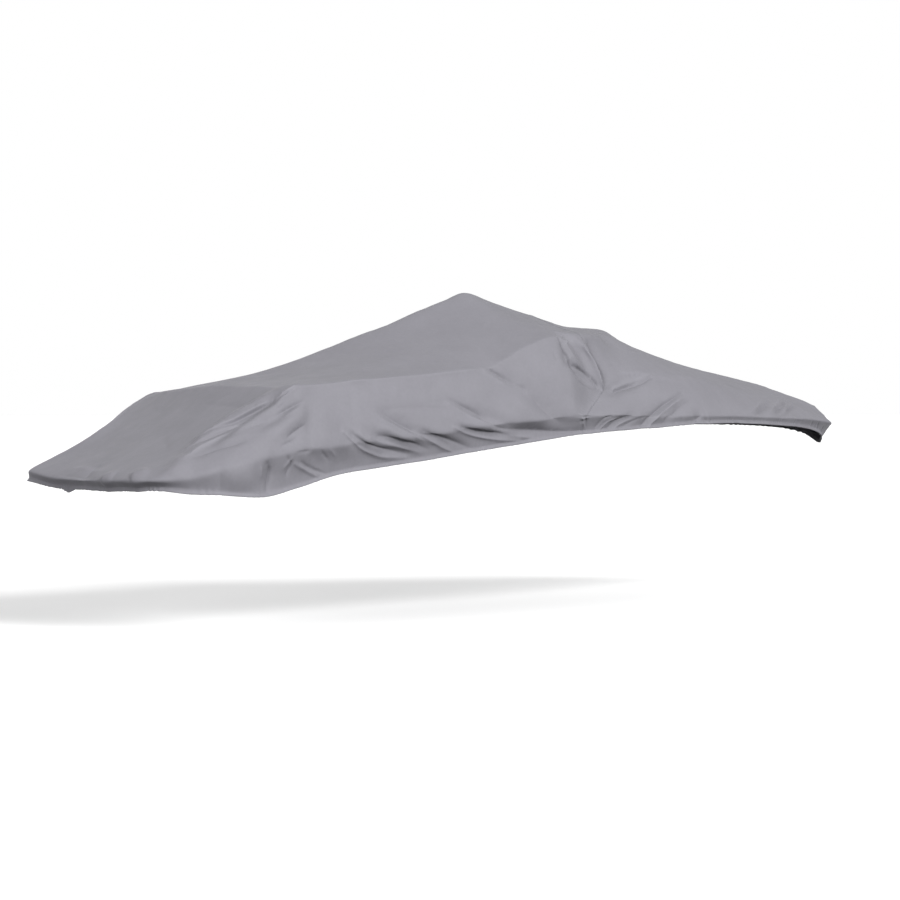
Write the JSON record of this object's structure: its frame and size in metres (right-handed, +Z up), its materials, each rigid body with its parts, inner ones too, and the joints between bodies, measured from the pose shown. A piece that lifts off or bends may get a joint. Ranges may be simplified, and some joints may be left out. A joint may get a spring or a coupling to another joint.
{
  "type": "boat cover",
  "caption": "Fitted cloth cover for an open-bow boat, hollow, peaked amidships, with drag folds in its sides and a corded hem.",
  "frame": {"origin": "under the peak of the cover, where it rests on the support pole amidships, on the centreline", "axes": "+X to the bow, +Y to port, +Z up"},
  "size_m": [8.0068, 2.5212, 1.6234],
  "materials": {
    "cloth": "plain-woven grey polyester with a water-repellent coating, satin, fine weave"
  },
  "bodies": {
    "root": {"aft_panel": "cloth", "bow_panel": "cloth"}
  },
  "joints": []
}
